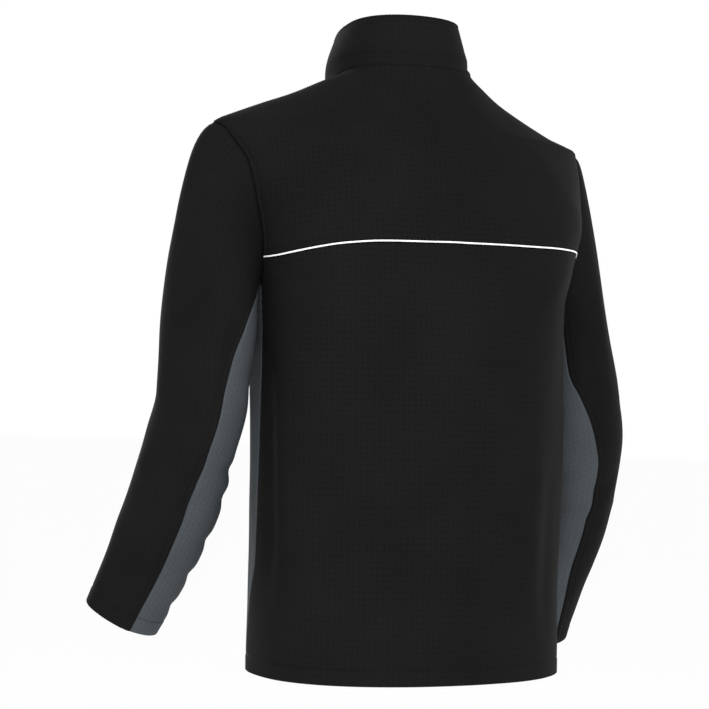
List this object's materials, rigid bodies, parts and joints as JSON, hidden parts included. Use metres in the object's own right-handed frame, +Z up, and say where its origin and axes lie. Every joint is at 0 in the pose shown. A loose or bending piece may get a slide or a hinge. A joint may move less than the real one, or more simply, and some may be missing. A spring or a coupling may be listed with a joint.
{
  "type": "softshell jacket",
  "caption": "Softshell jacket in black with grey side panels and under sleeves, stand collar, full front zip and reflective back piping.",
  "frame": {"origin": "middle of the neck seam, where the wearer's neck and shoulders hold the jacket", "axes": "+Z up, the front faces -Y, the wearer's left is +X"},
  "size_m": [0.6689, 0.3205, 0.7815],
  "materials": {
    "softshell_black": "matt woven polyester face, bonded",
    "softshell_grey": "matt woven polyester face, bonded",
    "reflective_piping": "retroreflective bead piping",
    "zip_tape": "woven polyester tape",
    "zip_teeth": "moulded plastic teeth",
    "zip_metal": "black lacquered zinc"
  },
  "bodies": {
    "jacket": {"back_panel": "softshell_black", "back_yoke": "softshell_black", "yoke_piping": "reflective_piping", "side_panel_left": "softshell_grey", "front_left": "softshell_black", "sleeve_upper_left": "softshell_black", "sleeve_under_left": "softshell_grey", "side_panel_right": "softshell_grey", "front_right": "softshell_black", "sleeve_upper_right": "softshell_black", "sleeve_under_right": "softshell_grey", "collar": "softshell_black", "zip_tape_left": "zip_tape", "zip_tape_right": "zip_tape", "zip_chain": "zip_teeth", "zip_slider": "zip_metal"},
    "pull_tab": {"zip_pull": "zip_metal"}
  },
  "joints": [
    {"name": "pull_tab_hinge", "type": "hinge", "parent": "jacket", "child": "pull_tab", "pos_m": [0.00961, -0.09904, -0.01867], "axis": [-1, 0, 0], "range_deg": [-15, 150]}
  ]
}
